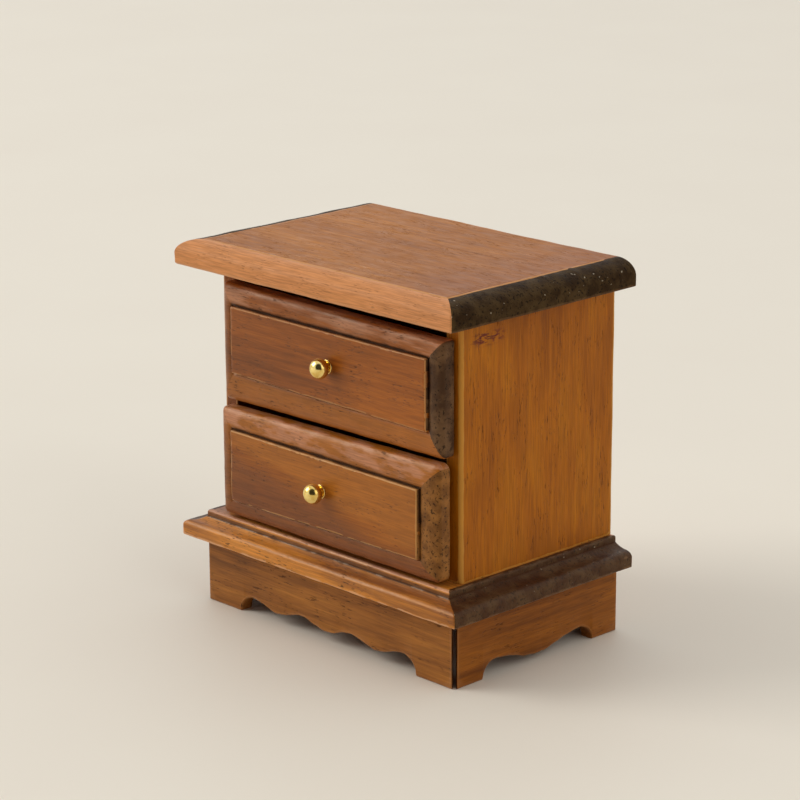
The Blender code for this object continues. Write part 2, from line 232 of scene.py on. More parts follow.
def mark_edges(mesh, soft_turn=8.0, full_turn=20.0):
    """Stores how near each point is to a worn ridge and to a hollow (stain with painted shade): 1 on it, 1
    less per mm.
    """
    shape = bmesh.new()
    shape.from_mesh(mesh)
    soft, full = math.radians(soft_turn), math.radians(full_turn)
    ridges = [FAR] * len(shape.verts)
    hollows = [FAR] * len(shape.verts)
    links = [[] for _ in shape.verts]
    for edge in shape.edges:
        turn = edge.calc_face_angle_signed(0.0)
        mark = min((abs(turn) - soft) / (full - soft), 1.0)
        marks = ridges if turn > 0 else hollows
        a, b = edge.verts[0].index, edge.verts[1].index
        step = edge.calc_length() / MM
        links[a].append((b, step))
        links[b].append((a, step))
        if mark > 0.0:
            marks[a], marks[b] = max(marks[a], mark), max(marks[b], mark)
    shape.free()
    for label, marks in (("worn", ridges), ("hollow", hollows)):
        waiting = [(-mark, index) for index, mark in enumerate(marks) if mark > FAR]
        heapq.heapify(waiting)
        while waiting:
            mark, index = heapq.heappop(waiting)
            if -mark < marks[index]:
                continue
            for other, step in links[index]:
                if -mark - step > marks[other]:
                    marks[other] = -mark - step
                    heapq.heappush(waiting, (-marks[other], other))
        layer = mesh.attributes.new(label, "FLOAT", "POINT")
        layer.data.foreach_set("value", marks)


def assemble(name, mesh, material, body, slot, *nodes):
    """Shades a finished mesh, keeps its broad faces flat and fixes it to its body."""
    mesh.materials.clear()
    mesh.materials.append(material)
    mesh.polygons.foreach_set("use_smooth", [True] * len(mesh.polygons))
    mesh.set_sharp_from_angle(angle=math.radians(SHARP_TURN))
    piece = bpy.data.objects.new(name, mesh)
    bpy.context.scene.collection.objects.link(piece)
    flat = piece.modifiers.new("flat_faces", "WEIGHTED_NORMAL")
    flat.keep_sharp = True
    flat.weight = 100
    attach(piece, body)
    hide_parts(*nodes)


def colour(r, g, b):
    """A linear colour from the usual 0-255 screen values."""
    return (*(((c / 255 + 0.055) / 1.055) ** 2.4 if c > 10 else c / 3295 for c in (r, g, b)), 1.0)


def mixed(tree, factor, first, second):
    """A colour Mix node in one line."""
    made = add_node(tree, "ShaderNodeMix", data_type="RGBA")
    feed(tree, made.inputs["Factor"], factor)
    feed(tree, made.inputs["A"], first)
    feed(tree, made.inputs["B"], second)
    return made.outputs["Result"]


def tinted(tree, skin, tone, amount, *shares):
    """The skin mixed towards a tone, by the amount times every share."""
    for share in shares:
        amount = maths(tree, "MULTIPLY", share, amount)
    return mixed(tree, amount, skin, colour(*tone))


def stretched(tree, place, along, across, axis, offset=(0, 0, 0)):
    """Object coordinates scaled so that a pattern runs along the grain."""
    scale = [across] * 3
    scale[axis] = along
    mapping = add_node(tree, "ShaderNodeMapping", Scale=scale, Location=offset)
    feed(tree, mapping.inputs["Vector"], place)
    return mapping.outputs[0]


def mottle(tree, place, scale, detail, distortion=0.0):
    """Soft random patches, about 0.5 on average."""
    made = add_node(tree, "ShaderNodeTexNoise", Scale=scale, Detail=detail, Distortion=distortion)
    feed(tree, made.inputs["Vector"], place)
    return made.outputs[0]


def ramp(tree, value, low, high):
    """The share, 0 to 1, of the way that a value has gone from low to high, eased at both ends."""
    made = add_node(tree, "ShaderNodeMapRange", interpolation_type="SMOOTHSTEP", From_Min=low,
                    From_Max=high)
    feed(tree, made.inputs["Value"], value)
    return made.outputs[0]


def new_finish(name):
    """A new material, its tree, its shader's sockets and the Object coordinates in it."""
    material = bpy.data.materials.new(name)
    material.use_nodes = True
    tree = material.node_tree
    place = tree.nodes.new("ShaderNodeTexCoord").outputs["Object"]
    return material, tree, tree.nodes["Principled BSDF"].inputs, place


def add_relief(tree, shader, height, strength, distance):
    """Fine relief on a material, from a height pattern."""
    bump = add_node(tree, "ShaderNodeBump", Strength=strength, Distance=distance)
    feed(tree, bump.inputs["Height"], height)
    feed(tree, shader["Normal"], bump.outputs[0])


# Each pattern's scale along the grain and across it, per metre.
FIGURE = (30, 300)
BLOTCHES = (40, 95)
THREADS = (55, 1500)
FIBRES = (260, 5200)
PORES = (900, 5600)
PORE_PATCHES = (200, 420)
END_MIST = (500, 500)
RUBS = (420, 900)
HAZE = (300, 700)
SEED_SHIFT = Vector((3.7, 1.9, 2.3))
GRIT_SCALE = 2600.0
DUST_SCALE = 1500.0
TONE_RANGE = (0.12, 0.88)  # the first tone's place and the last one's on the ramp of tones
GRIT_TONE = (16, 10, 7)
DUST_TONE = (196, 180, 156)
VARNISH_TINT = (255, 222, 180)
VARNISH_ROUGHNESS = 0.22


def stained_wood(name, grain, tones, seed, worn_tone, hollow_tone=(34, 15, 8), end_tones=None,
                 streak=0.4, blotch=0.4, pores=0.6, wear=0.6, rub_width=0.3, dark_width=0.3,
                 seam_tone=None, dust=0.0, gloss=0.4, shine=0.2, coat=0.04, threads=0.9,
                 extra=None):
    """Stained and varnished hardwood, its grain along the given axis (0, 1 or 2).

    Tones are screen values, the darkest first. Amounts run from 0 to about 1, and widths are in mm.
    """
    material, tree, shader, place = new_finish(name)
    calc = partial(maths, tree)

    def pattern(scales, detail, distortion=0.0):
        spot = stretched(tree, place, *scales, grain, seed * SEED_SHIFT)
        return mottle(tree, spot, 1.0, detail, distortion)

    # The stain over the figure, the blotches and the threads.
    shade = calc("MULTIPLY", calc("SUBTRACT", pattern(FIGURE, 2.0, 0.8), 0.5), 2.2 * streak)
    shade = calc("ADD", shade, 0.5)
    shade = calc("MULTIPLY_ADD", calc("SUBTRACT", pattern(BLOTCHES, 2.0, 0.3), 0.5), 2.4 * blotch, shade)
    shade = calc("MULTIPLY_ADD", calc("SUBTRACT", pattern(THREADS, 2.0, 0.3), 0.5), threads, shade)
    tone = tree.nodes.new("ShaderNodeValToRGB")
    stops = tone.color_ramp.elements
    first, last = TONE_RANGE
    stops[0].position, stops[1].position = first, last
    stops[0].color, stops[1].color = colour(*tones[0]), colour(*tones[-1])
    for index, middle in enumerate(tones[1:-1]):
        stops.new(first + (last - first) * (index + 1) / (len(tones) - 1)).color = colour(*middle)
    feed(tree, tone.inputs[0], shade)
    skin = tone.outputs[0]
    if extra:
        skin = extra(tree, place, skin)

    # Dark fibres, and open pores in patches.
    fibre = pattern(FIBRES, 2.0)
    thread = ramp(tree, fibre, 0.3, 0.7)
    skin = mixed(tree, calc("MULTIPLY_ADD", thread, -0.26, 0.30), skin, colour(*hollow_tone))
    pore_mask = calc("MULTIPLY", ramp(tree, pattern(PORES, 1.0), 0.60, 0.70),
                     ramp(tree, pattern(PORE_PATCHES, 1.0), 0.42, 0.62))
    skin = tinted(tree, skin, hollow_tone, pores, pore_mask)

    # End grain drinks the stain and is gritty, with specks of dust in the varnish.
    end_share = add_node(tree, "ShaderNodeAttribute", attribute_name="end_grain").outputs["Fac"]
    grit = mottle(tree, place, GRIT_SCALE, 3.0)
    if end_tones:
        end_skin = mixed(tree, ramp(tree, pattern(END_MIST, 3.0), 0.35, 0.68), colour(*end_tones[0]),
                         colour(*end_tones[1]))
        end_skin = tinted(tree, end_skin, GRIT_TONE, 0.75, ramp(tree, grit, 0.56, 0.66))
        speck = ramp(tree, mottle(tree, place, DUST_SCALE, 1.0), 0.745, 0.775)
        end_skin = tinted(tree, end_skin, DUST_TONE, dust, speck)
        skin = mixed(tree, end_share, skin, end_skin)

    # Ridges rubbed pale. The hollows take the seam or hollow tone: stain left in them, and painted shade.
    rub = calc("SUBTRACT", pattern(RUBS, 2.0), 0.5)
    worn = add_node(tree, "ShaderNodeAttribute", attribute_name="worn").outputs["Fac"]
    worn = calc("MULTIPLY_ADD", rub, 1.2 * rub_width, worn)
    wear_share = calc("MULTIPLY", ramp(tree, worn, 1.0 - rub_width, 1.0 - 0.3 * rub_width), wear)
    if end_tones:
        wear_share = calc("MULTIPLY", wear_share, calc("MULTIPLY_ADD", end_share, -0.85, 1.0))
    skin = mixed(tree, wear_share, skin, colour(*worn_tone))
    hollow = add_node(tree, "ShaderNodeAttribute", attribute_name="hollow").outputs["Fac"]
    hollow = calc("MULTIPLY_ADD", rub, 0.8 * dark_width, hollow)
    skin = tinted(tree, skin, seam_tone or hollow_tone, 0.85,
                  ramp(tree, hollow, 1.0 - dark_width, 1.0 - 0.2 * dark_width))
    feed(tree, shader["Base Color"], skin)

    # The varnish's sheen, duller in the pores and on the ends.
    haze = pattern(HAZE, 3.0)
    rough = calc("MULTIPLY_ADD", calc("SUBTRACT", haze, 0.5), 0.35, gloss)
    rough = calc("MULTIPLY_ADD", pore_mask, 0.25, rough)
    feed(tree, shader["Roughness"], calc("MULTIPLY_ADD", end_share, 0.08, rough))
    feed(tree, shader["Specular IOR Level"], calc("MULTIPLY_ADD", end_share, -0.5 * shine, shine))
    shader["Specular Tint"].default_value = colour(*VARNISH_TINT)
    shader["Coat Weight"].default_value = coat
    shader["Coat Roughness"].default_value = VARNISH_ROUGHNESS

    relief = calc("MULTIPLY", fibre, 0.35)
    relief = calc("MULTIPLY_ADD", pore_mask, -0.8, relief)
    relief = calc("MULTIPLY_ADD", calc("MULTIPLY", grit, end_share), -1.5, relief)
    relief = calc("MULTIPLY_ADD", haze, 0.9, relief)
    add_relief(tree, shader, relief, 0.55, 0.06 * MM)
    return material


base_low, base_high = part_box("base_board")
plinth_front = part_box("front_apron")[0].y
plinth_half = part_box("right_apron")[1].x
plinth_middle = (plinth_front + cad_high.y) / 2
plinth_half_depth = (cad_high.y - plinth_front) / 2
apron_tree = scrolled_apron_tree()
front_apron_wood = stained_wood(
    "front_apron_stain", 0, ((114, 68, 33), (156, 96, 42), (183, 117, 50)), 1.0, (186, 134, 86),
    streak=0.35, blotch=0.5, pores=0.6, wear=0.25, gloss=0.4)
side_apron_wood = stained_wood(
    "side_apron_stain", 1, ((115, 61, 15), (147, 83, 22), (169, 99, 27)), 2.0, (176, 122, 70),
    streak=0.35, blotch=0.4, pores=0.45, wear=0.3, gloss=0.4)
back_apron_wood = stained_wood(
    "back_apron_stain", 0, ((102, 59, 26), (135, 81, 36), (159, 100, 44)), 3.0, (170, 118, 70),
    streak=0.5, blotch=0.6, pores=0.6, wear=0.5, gloss=0.45)
APRONS = (
    ("front_apron", plinth_half, plinth_half_depth, LONG_SCROLL, 0, front_apron_wood),
    ("right_apron", plinth_half_depth, plinth_half, SHORT_SCROLL, 90, side_apron_wood),
    ("back_apron", plinth_half, plinth_half_depth, LONG_SCROLL, 180, back_apron_wood),
    ("left_apron", plinth_half_depth, plinth_half, SHORT_SCROLL, 270, side_apron_wood),
)
for node, half_run, face_out, scroll, turn, wood in APRONS:
    sizes = {**scroll, "Half Run": half_run - MITRE_TIP, "Height": base_low.z,
             "Thickness": PLINTH_THICKNESS, "Arris": PLINTH_ARRIS, "Tip Flat": MITRE_FLAT,
             "Unevenness": SAW_UNEVENNESS, "Finish": wood}
    apron = grow("scrolled_" + node, apron_tree, sizes)
    apron.transform(Matrix.Translation((0, -face_out, 0)))
    apron.transform(Matrix.Rotation(math.radians(turn), 4, "Z"))
    apron.transform(Matrix.Translation((0, plinth_middle, 0)))
    mark_edges(apron)
    assemble("scrolled_" + node, apron, wood, "carcass", "walnut_plinth", node)

# ---- base board ----------------------------------------------------------------------------------
# One board laid on the plinth, moulded along its front and both ends: a bead, a shallow slope and
# a rounded nose. The ends show dark end grain, and the nose is rubbed pale.
BASE_MOULDING = (2.2 * MM, 3.2 * MM)  # width of the moulding along the front, and on the ends
BOARD_STEPS = (180, 110, 60, 110)  # along the front, the right end, the back and the left end
CORNER_TURNS = 6
SMALLEST_CORNER = 0.05 * MM
CAP_INSET = 0.6 * MM  # a ring just inside each flat keeps the edge wear off the flat
SOFT_INSET = 0.45 * MM  # the same ring's distance from an arris that is already rounded


def ring_points(corners, radii, runs):
    """One closed ring: four rounded corners, anticlockwise, with `runs` steps along each side."""
    points = []
    for i, here in enumerate(corners):
        here, before, after = Vector(here), Vector(corners[i - 1]), Vector(corners[(i + 1) % 4])
        back, on = (before - here).normalized(), (after - here).normalized()
        for k in range(CORNER_TURNS + 1):
            angle = math.pi / 2 * k / CORNER_TURNS
            points.append(here + radii[i] * (back * (1 - math.sin(angle)) + on * (1 - math.cos(angle))))
        start, stop = here + on * radii[i], after - on * radii[(i + 1) % 4]
        points += [start.lerp(stop, k / runs[i]) for k in range(1, runs[i])]
    return points


def lofted(name, rings, upright=True):
    """A closed block through a stack of (ring points, height). Not upright, it rises towards -Y."""
    verts, faces = [], []
    for points, height in rings:
        verts += [(p.x, p.y, height) if upright else (p.x, -height, p.y) for p in points]
    count = len(rings[0][0])
    for level in range(len(rings) - 1):
        low, high = level * count, (level + 1) * count
        faces += [(low + k, low + (k + 1) % count, high + (k + 1) % count, high + k)
                  for k in range(count)]
    faces.append(tuple(reversed(range(count))))
    faces.append(tuple(range(len(verts) - count, len(verts))))
    mesh = bpy.data.meshes.new(name)
    mesh.from_pydata(verts, [], faces)
    return mesh


def hand_finish(mesh, amount, grain_size, seed, low, high, flat_axis=2):
    """Moves a lofted block's points a little along their normals, as sandpaper by hand does."""
    top = max(v.co[flat_axis] for v in mesh.vertices)
    bottom = min(v.co[flat_axis] for v in mesh.vertices)
    moves = []
    for point in mesh.vertices:
        broad = noise.noise(point.co / grain_size + Vector((seed, 0, 0)))
        fine = noise.noise(point.co / (grain_size * 0.23) + Vector((0, seed, 0)))
        share = 0.0 if point.co[flat_axis] in (top, bottom) else 1.0
        moves.append(point.normal * (amount * share * (broad + 0.2 * fine)))
    for point, move in zip(mesh.vertices, moves):
        moved = point.co + move
        point.co = [min(max(c, a), b) for c, a, b in zip(moved, low, high)]


def mark_end_grain(mesh, test):
    """Marks the faces that show end grain, by test(face centre). The back edge shows long grain."""
    layer = mesh.attributes.new("end_grain", "FLOAT", "FACE")
    layer.data.foreach_set("value", [float(test(face.center)) * (face.normal.y < 0.6)
                                     for face in mesh.polygons])


def quarter(steps, start=0.0, stop=90.0):
    """(sine, cosine) along an arc, ends included."""
    angles = [math.radians(start + (stop - start) * k / steps) for k in range(steps + 1)]
    return [(math.sin(a), math.cos(a)) for a in angles]


def moulded_board(name, low, high, moulding, profile, arris, corners):
    """A board moulded on its front and ends and plain behind, lofted from its level lines.

    The profile is (share of the moulding's width, plain inset, height), from the bottom up. The
    corners' radius goes from the outer one to the inner one over the moulding's first third.
    """
    front_width, end_width = moulding
    outer_corner, inner_corner = corners
    rings = []
    for share, inset, height in profile:
        front = share * front_width + inset
        end = share * end_width + inset
        rise = max(height - (high.z - arris), 0.0)
        behind = max(arris - math.sqrt(max(arris ** 2 - rise ** 2, 0.0)), inset if share == 0 else 0.0)
        behind += inset if height == high.z else 0.0
        corner = outer_corner + (inner_corner - outer_corner) * min(share * 3, 1.0)
        back_corner = max(outer_corner * 0.7 - behind, SMALLEST_CORNER)
        outline = ((low.x + end, low.y + front), (high.x - end, low.y + front),
                   (high.x - end, high.y - behind), (low.x + end, high.y - behind))
        radii = (corner, corner, back_corner, back_corner)
        rings.append((ring_points(outline, radii, BOARD_STEPS), height))
    return lofted(name, rings)


def board_ends(low, high, moulding, reach=0.98):
    """The test for end grain on a moulded board: nearer its ends than its front, by the moulding."""
    front_width, end_width = moulding

    def test(place):
        end = min(place.x - low.x, high.x - place.x) / end_width
        return end < min((place.y - low.y) / front_width - 0.02, reach)

    return test


def base_profile(bottom, top):
    """Bottom arris, upright edge, nose, slope, the bead's side and its round."""
    width = BASE_MOULDING[0]
    nose, bead, arris = 0.9 * MM, 0.35 * MM, 0.2 * MM
    slope_foot, bead_foot = 1.7 * MM, 1.0 * MM
    levels = [(0.0, arris + CAP_INSET, bottom)]
    levels += [(0.0, arris * (1 - s), bottom + arris * (1 - c)) for s, c in quarter(4)]
    nose_low = top - slope_foot - nose
    levels += [(0.0, 0.0, bottom + arris + (nose_low - bottom - arris) * k / 5) for k in range(1, 6)]
    levels += [((nose * (1 - c)) / width, 0.0, nose_low + nose * s) for s, c in quarter(10)[1:]]
    hollow = 0.12 * MM
    for k in range(1, 9):
        t = k / 8
        sag = hollow * math.sin(math.pi * t)
        rise = (slope_foot - bead_foot) * t - sag
        levels.append(((nose + (width - nose) * t) / width, 0.0, top - slope_foot + rise))
    levels += [(1.0, 0.0, top - bead_foot + (bead_foot - bead) * k / 3) for k in range(1, 4)]
    levels += [(1.0, bead * (1 - c), top - bead + bead * s) for s, c in quarter(5)[1:]]
    levels.append((1.0, bead + SOFT_INSET, top))
    return levels


def base_bead_band_and_highlight(tree, place, skin):
    """A darker band on the upright side of the bead, and a pinkish painted highlight along its round."""
    _, behind, height = split_place(tree, place)
    top = base_high.z
    skin = tinted(tree, skin, (84, 42, 20), 0.7,
                  ramp(tree, height, top - 1.15 * MM, top - 0.95 * MM),
                  ramp(tree, height, top - 0.3 * MM, top - 0.5 * MM))
    # The painted highlight along the bead's round.
    return tinted(tree, skin, (222, 164, 136), 0.6,
                  ramp(tree, height, top - 0.3 * MM, top - 0.1 * MM),
                  ramp(tree, behind, base_low.y + 3.0 * MM, base_low.y + 2.6 * MM))


base_wood = stained_wood(
    "base_board_stain", 0, ((150, 86, 35), (206, 128, 45), (243, 157, 61)), 4.0, (218, 164, 118),
    end_tones=((64, 34, 14), (84, 58, 34)), streak=0.6, blotch=0.6, pores=0.75, wear=0.7, dust=0.6,
    seam_tone=(66, 34, 14), gloss=0.36, shine=0.45, extra=base_bead_band_and_highlight)
base_board = moulded_board("moulded_base_board", base_low, base_high, BASE_MOULDING,
                           base_profile(base_low.z, base_high.z), 0.25 * MM, (0.3 * MM, 0.25 * MM))
hand_finish(base_board, 0.09 * MM, 3.2 * MM, 4.0, base_low, base_high)
mark_edges(base_board, 12.0, 26.0)
mark_end_grain(base_board, board_ends(base_low, base_high, BASE_MOULDING, 1.2))
assemble("moulded_base_board", base_board, base_wood, "carcass", "walnut_top", "base_board")

# ---- carcass -------------------------------------------------------------------------------------
# Two upright side boards with a thin back let in between them, a divider under the upper drawer
# and a rail over it. All are glued on edge, and their front arrises are rubbed round.
SMEAR_FROM = (5.2 * MM, 3.0 * MM)  # its middle, back from the panel's front and down from its top
SMEAR_REACH = (4.2 * MM, 1.3 * MM)  # half its length and half its height
GLUE_LINE = 0.25 * MM  # how far the boards that are let in reach out, to close their joints
CAP_CORNER = 0.04 * MM  # the smallest corner radius of a plain board's rings


def plain_board(name, low, high, arris, corner_radii, lifts, runs):
    """A squared board with rubbed arrises, lofted upwards in `lifts` steps."""
    middle = [low.z + arris + (high.z - low.z - 2 * arris) * k / lifts for k in range(lifts + 1)]
    cap = arris + min(CAP_INSET, 0.2 * min(high.x - low.x, high.y - low.y))
    levels = [(cap, low.z)]
    levels += [(arris * (1 - s), low.z + arris * (1 - c)) for s, c in quarter(3)][:-1]
    levels += [(0.0, height) for height in middle]
    levels += [(arris * (1 - c), high.z - arris * (1 - s)) for s, c in quarter(3)][1:]
    levels.append((cap, high.z))
    rings = []
    for inset, height in levels:
        outline = ((low.x + inset, low.y + inset), (high.x - inset, low.y + inset),
                   (high.x - inset, high.y - inset), (low.x + inset, high.y - inset))
        radii = [max(radius - inset, CAP_CORNER) for radius in corner_radii]
        rings.append((ring_points(outline, radii, runs), height))
    return lofted(name, rings)


def red_smear(tree, place, skin):
    """A smear of red-purple stain near the top front corner of the panel's outer face."""
    behind = panel_low.y + SMEAR_FROM[0]
    height = panel_high.z - SMEAR_FROM[1]
    long, tall = SMEAR_REACH
    mapping = add_node(tree, "ShaderNodeMapping", vector_type="POINT", Scale=(0.0, 1 / long, 1 / tall),
                       Location=(0.0, -behind / long, -height / tall))
    feed(tree, mapping.inputs["Vector"], place)
    ball = add_node(tree, "ShaderNodeVectorMath", operation="LENGTH")
    feed(tree, ball.inputs[0], mapping.outputs[0])
    smear = mottle(tree, stretched(tree, place, 500, 1500, 1), 1.0, 3.0, 1.0)
    return tinted(tree, skin, (98, 28, 30), 0.9, ramp(tree, ball.outputs["Value"], 1.1, 0.4),
                  ramp(tree, smear, 0.45, 0.58))


panel_low, panel_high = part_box("right_side_panel")
right_panel_wood = stained_wood(
    "right_side_stain", 2, ((135, 69, 9), (175, 98, 11), (199, 122, 15)), 5.0, (198, 140, 60),
    streak=0.2, blotch=0.5, pores=0.5, wear=0.75, rub_width=0.3, gloss=0.45, threads=0.4, extra=red_smear)
left_panel_wood = stained_wood(
    "left_side_stain", 2, ((113, 56, 27), (139, 74, 29), (157, 88, 32)), 6.0, (190, 136, 84),
    streak=0.55, blotch=0.5, pores=0.6, wear=0.6, gloss=0.4)
top_low, top_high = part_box("top_board")
for node, wood, radii in (
        ("right_side_panel", right_panel_wood, (0.1, 0.5, 0.3, 0.1)),
        ("left_side_panel", left_panel_wood, (0.5, 0.1, 0.1, 0.3))):
    low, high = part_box(node)
    low.z, high.z = base_high.z, top_low.z
    panel = plain_board("upright_" + node, low, high, 0.06 * MM, [r * MM for r in radii], 70,
                        (6, 40, 6, 40))
    hand_finish(panel, 0.05 * MM, 6 * MM, 5.0, low, high)
    mark_edges(panel, 6.0, 14.0)
    assemble("upright_" + node, panel, wood, "carcass", "walnut_side", node)

hidden_wood = stained_wood(
    "inner_board_stain", 0, ((70, 38, 20), (92, 54, 30), (112, 68, 36)), 7.0, (140, 92, 52),
    streak=0.5, blotch=0.5, pores=0.6, wear=0.4, gloss=0.55, coat=0.1)
back_wood = stained_wood(
    "back_panel_stain", 2, ((124, 69, 24), (156, 91, 32), (177, 109, 37)), 8.0, (170, 118, 66),
    streak=0.6, blotch=0.5, pores=0.6, wear=0.5, gloss=0.5, coat=0.12)
for node, wood, grow_z in (("back_panel", back_wood, True), ("drawer_divider", hidden_wood, False),
                           ("top_rail", hidden_wood, False)):
    low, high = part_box(node)
    low.x -= GLUE_LINE
    high.x += GLUE_LINE
    if grow_z:
        low.z, high.z = base_high.z, top_low.z
    board = plain_board("fitted_" + node, low, high, 0.08 * MM, [0.12 * MM] * 4, 4, (60, 4, 60, 4))
    mark_edges(board)
    assemble("fitted_" + node, board, wood, "carcass", "walnut_side", node)

# ---- top board -----------------------------------------------------------------------------------
# A wide board with a thumb moulding on its front and ends and a square back edge, glued on the
# carcass. The end-grain moulding took up the stain and is nearly black, the flat is worn paler.
TOP_MOULDING = (2.9 * MM, 3.6 * MM)  # width of the moulding along the front, and on the ends
TOP_MOULDING_DROP = 2.2 * MM


def top_profile(bottom, top):
    """Bottom arris, upright edge, the thumb's round, then a fine step up to the flat."""
    arris, step = 0.22 * MM, 0.05 * MM
    thumb_low = top - TOP_MOULDING_DROP
    levels = [(0.0, arris + CAP_INSET, bottom)]
    levels += [(0.0, arris * (1 - s), bottom + arris * (1 - c)) for s, c in quarter(4)]
    rise = thumb_low - bottom - arris
    levels += [(0.0, 0.0, bottom + arris + rise * k / 5) for k in range(1, 6)]
    levels += [(1 - c, 0.0, thumb_low + (TOP_MOULDING_DROP - step) * s) for s, c in quarter(22)[1:]]
    levels += [(1.0, step, top - step * 0.3), (1.0, 2 * step, top), (1.0, CAP_INSET, top)]
    return levels


def top_marks_and_sheen(tree, place, skin):
    """A pinker band towards the right end, fine pale scratches along the grain, and a paler front
    moulding: orange stain with a painted sheen.
    """
    across, behind, _ = split_place(tree, place)
    skin = tinted(tree, skin, (152, 96, 66), 0.45,
                  ramp(tree, across, top_high.x - 22 * MM, top_high.x - 6 * MM))
    lines = mottle(tree, stretched(tree, place, 330, 7000, 0, (3, 1, 7)), 1.0, 1.0)
    skin = tinted(tree, skin, (214, 178, 150), 0.6, ramp(tree, lines, 0.63, 0.70),
                  ramp(tree, mottle(tree, place, 130.0, 2.0), 0.46, 0.6),
                  ramp(tree, behind, top_low.y + 16 * MM, top_low.y + 4 * MM))
    # The front moulding: a paler orange stain, and a painted sheen in place of the varnish's highlight.
    return tinted(tree, skin, (232, 160, 106), 0.75,
                  ramp(tree, behind, top_low.y + 3.4 * MM, top_low.y + 2.6 * MM))


top_wood = stained_wood(
    "top_board_stain", 0, ((156, 91, 30), (178, 108, 35), (196, 123, 42)), 9.0, (206, 150, 106),
    end_tones=((48, 32, 16), (72, 54, 31)), streak=0.3, blotch=0.4, pores=0.35, wear=0.6,
    gloss=0.36, shine=0.07, coat=0.0, seam_tone=(204, 146, 92), dust=0.6, extra=top_marks_and_sheen)
top_board = moulded_board("moulded_top_board", top_low, top_high, TOP_MOULDING,
                          top_profile(top_low.z, top_high.z), 0.3 * MM, (0.25 * MM, 0.2 * MM))
hand_finish(top_board, 0.09 * MM, 4.5 * MM, 9.0, top_low, top_high)
mark_edges(top_board, 9.0, 22.0)
mark_end_grain(top_board, board_ends(top_low, top_high, TOP_MOULDING))
assemble("moulded_top_board", top_board, top_wood, "carcass", "walnut_top", "top_board")

# ---- drawer boxes --------------------------------------------------------------------------------
# Thin boards of thinly stained softwood, butted and glued into an open box behind each front.
# They slide loose on the base board and the divider.


def thin_softwood(name, grain, seed):
    """Pale softwood under a thin stain, without varnish."""
    return stained_wood(
        name, grain, ((146, 104, 62), (174, 130, 82), (192, 150, 100)), seed, (206, 168, 120),
        hollow_tone=(92, 58, 32), streak=0.6, blotch=0.35, pores=0.7, wear=0.5, gloss=0.6, coat=0.0)


box_wood = thin_softwood("drawer_box_wood", 1, 10.0)
box_back_wood = thin_softwood("drawer_back_wood", 0, 11.0)
for drawer in ("upper_drawer", "lower_drawer"):
    for part in ("left_side", "right_side", "back", "bottom"):
        node = f"{drawer}_{part}"
        low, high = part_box(node)
        low.y -= GLUE_LINE if part != "back" else 0.0
        if part in ("back", "bottom"):
            low.x -= GLUE_LINE
            high.x += GLUE_LINE
        if part == "back":
            low.z -= GLUE_LINE
        wood = box_back_wood if part == "back" else box_wood
        board = plain_board(node + "_board", low, high, 0.12 * MM, [0.12 * MM] * 4, 6, (10, 10, 10, 10))
        mark_edges(board)
        assemble(node + "_board", board, wood, drawer, "raw_box_wood", node)

# ---- drawer fronts -------------------------------------------------------------------------------
# Each front is one board whose flat field stands proud of a moulded border: a square step, a fine
# quirk at its foot and a rounded roll. Stain and painted shade lie dark in the quirk, the stain is
# worn off the arris above it, and the right end shows dark end grain.
FRONT_STEPS = (170, 70, 170, 70)  # along the bottom, the right end, the top and the left end
ROLL_CREST = 0.4 * MM  # depths behind the field: the roll's crest, its outer foot and the quirk
ROLL_FOOT = 1.35 * MM
QUIRK_DEPTH = 0.72 * MM
CREST_SHARE = 0.36  # shares of the border's width, outwards from the field
QUIRK_SHARE = 0.055
WALL_SHARE = 0.015
SQUARE_SHARE = 0.4  # inside this share, the corners stay nearly square
SQUARE_CORNER = 0.15 * MM
LOW_QUIRK_RELIEF = 0.45  # the lower quirks get this much less of the dark stain and painted shade


def fielded_front(name, outer, field, back, front, corner_radii):
    """A drawer front lofted from its back to its field. Corners are (x, z), bottom left first."""
    rub, soft = 0.18 * MM, 0.12 * MM
    crest, foot, quirk = front - ROLL_CREST, front - ROLL_FOOT, front - QUIRK_DEPTH
    levels = [(1.0, rub + CAP_INSET, back)]
    levels += [(1.0, rub * (1 - s), back + rub * (1 - c)) for s, c in quarter(3)]
    levels += [(1.0, 0.0, back + rub + (foot - back - rub) * k / 4) for k in range(1, 5)]
    levels += [(CREST_SHARE + (1.0 - CREST_SHARE) * c, 0.0, foot + (crest - foot) * s)
               for s, c in quarter(18)[1:]]
    levels += [(CREST_SHARE + (QUIRK_SHARE - CREST_SHARE) * s, 0.0, quirk + (crest - quirk) * c)
               for s, c in quarter(8, 0.0, 80.0)[1:]]
    levels += [(QUIRK_SHARE, 0.0, quirk), (0.5 * QUIRK_SHARE, 0.0, quirk), (WALL_SHARE, 0.0, front - soft)]
    levels += [(0.0, soft * (1 - c), front - soft * (1 - s)) for s, c in quarter(3)][1:]
    levels.append((0.0, soft + SOFT_INSET, front))
    rings = []
    for share, inset, height in levels:
        signs = ((1, 1), (-1, 1), (-1, -1), (1, -1))
        outline = [Vector(a).lerp(Vector(b), share) + inset * Vector(sign)
                   for a, b, sign in zip(field, outer, signs)]
        rounding = max(share - SQUARE_SHARE, 0.0) / (1.0 - SQUARE_SHARE)
        radii = [SQUARE_CORNER + (radius - SQUARE_CORNER) * rounding for radius in corner_radii]
        rings.append((ring_points(outline, radii, FRONT_STEPS), height))
    return lofted(name, rings, upright=False)


def front_ends(outer, field):
    """How much end grain shows on a front: fully by its right end, faintly by its left one."""
    left, right = outer[0][0], outer[1][0]
    bottom, top = (outer[0][1] + outer[1][1]) / 2, (outer[2][1] + outer[3][1]) / 2
    borders = (field[0][0] - left, right - field[1][0],
               (field[0][1] + field[1][1]) / 2 - bottom, top - (field[2][1] + field[3][1]) / 2)

    def test(place):
        across = min((place.x - left) / borders[0], (right - place.x) / borders[1])
        upright = min((place.z - bottom) / borders[2], (top - place.z) / borders[3], 1.0)
        if across >= upright - 0.02:
            return 0.0
        return 1.0 if place.x > (left + right) / 2 else 0.3

    return test


